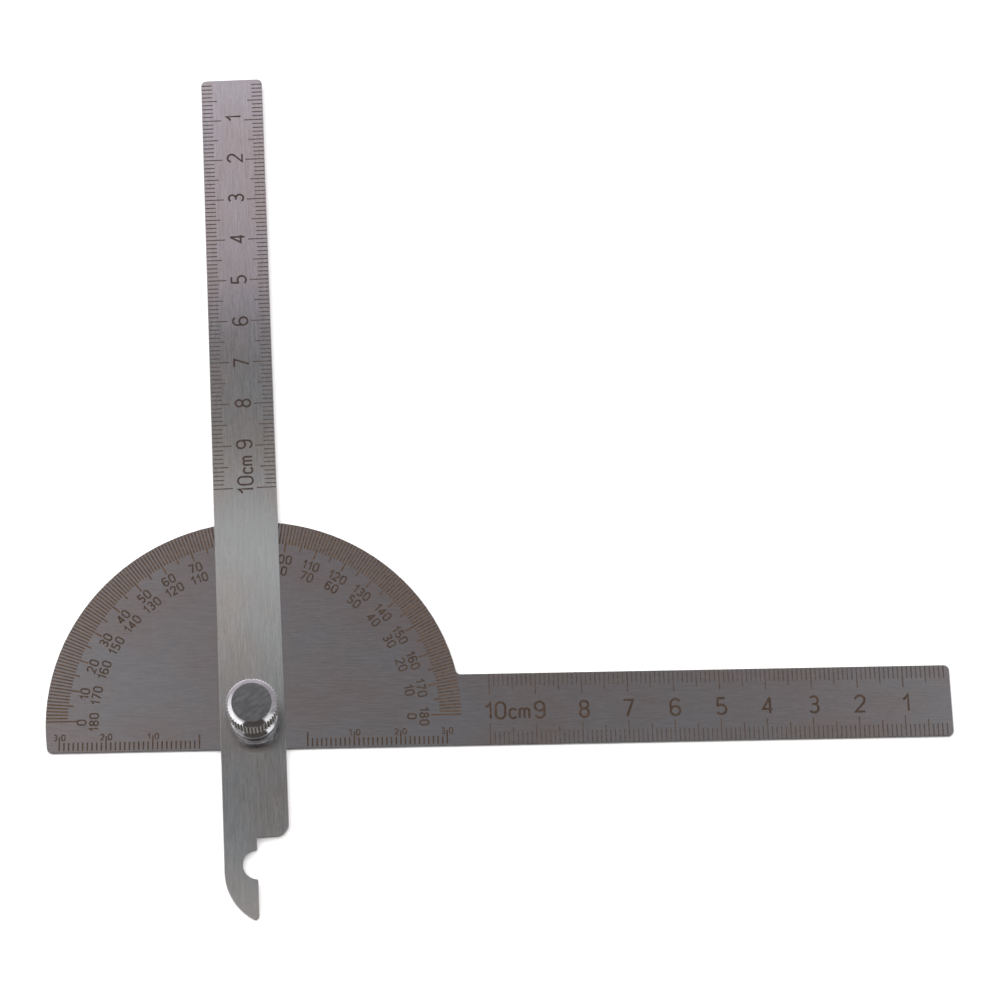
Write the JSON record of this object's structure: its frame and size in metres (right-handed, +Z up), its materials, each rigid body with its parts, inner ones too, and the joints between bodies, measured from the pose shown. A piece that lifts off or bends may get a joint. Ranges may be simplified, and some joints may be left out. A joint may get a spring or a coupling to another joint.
{
  "type": "protractor",
  "caption": "Protractor with a half-disc degree ring, a fixed rule and a swing arm with a hooked tail, locked at the pivot by a knurled thumb nut.",
  "frame": {"origin": "on the pivot axis, at the underside of the base plate, which lies flat on the work", "axes": "+X along the fixed rule from the pivot to its free end, +Z up through the thumb nut, -Y out of the straight reference edge; at rest the swing arm points 91.75 degrees from +X towards +Y"},
  "size_m": [0.196, 0.1972, 0.0134],
  "materials": {
    "base_plate_steel": "stainless, brushed along the fixed rule, brown etched scale",
    "swing_arm_steel": "stainless, brushed along the arm, brown etched scale",
    "stud_steel": "turned",
    "washer_steel": "bright",
    "nut_chrome": "polished, knurled"
  },
  "bodies": {
    "base": {"base_plate": "base_plate_steel", "pivot_stud": "stud_steel"},
    "swing_arm": {"swing_arm": "swing_arm_steel"},
    "washer": {"washer": "washer_steel"},
    "thumb_nut": {"thumb_nut": "nut_chrome"}
  },
  "joints": [
    {"name": "arm_swing", "type": "hinge", "parent": "base", "child": "swing_arm", "pos_m": [0, 0, 0.00152], "axis": [0, 0, 1], "continuous": true},
    {"name": "nut_lift", "type": "slide", "parent": "base", "child": "washer", "axis": [0, 0, 1], "range_m": [0, 0.00421]},
    {"name": "nut_spin", "type": "hinge", "parent": "washer", "child": "thumb_nut", "pos_m": [0, 0, 0.008], "axis": [0, 0, 1], "range_deg": [0, 2160]}
  ],
  "couplings": [
    {"joint": "nut_lift", "follows": "nut_spin", "m_per_rad": 0.00011141}
  ]
}
